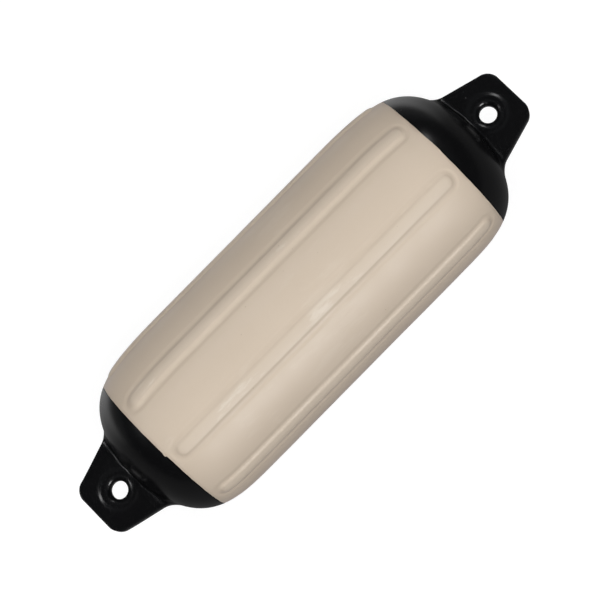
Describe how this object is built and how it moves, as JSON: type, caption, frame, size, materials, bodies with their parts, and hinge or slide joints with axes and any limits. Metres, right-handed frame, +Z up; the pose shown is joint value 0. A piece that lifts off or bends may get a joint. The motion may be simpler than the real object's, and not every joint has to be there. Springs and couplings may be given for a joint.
{
  "type": "pneumatic fender",
  "caption": "Cylindrical inflatable boat fender with a ribbed pale sleeve, rounded dark ends and a flat rope-eye tab at each end.",
  "frame": {"origin": "on the floor under the middle of the fender", "axes": "+X along the fender through both eye tabs, +Z up through the flat faces of the tabs"},
  "size_m": [0.686, 0.2148, 0.2141],
  "materials": {
    "sleeve_vinyl": "satin moulded vinyl",
    "end_vinyl": "glossy moulded vinyl",
    "valve_rubber": "matt moulded rubber"
  },
  "bodies": {
    "root": {"sleeve": "sleeve_vinyl", "end_left": "end_vinyl", "end_right": "end_vinyl", "valve": "valve_rubber"}
  },
  "joints": []
}
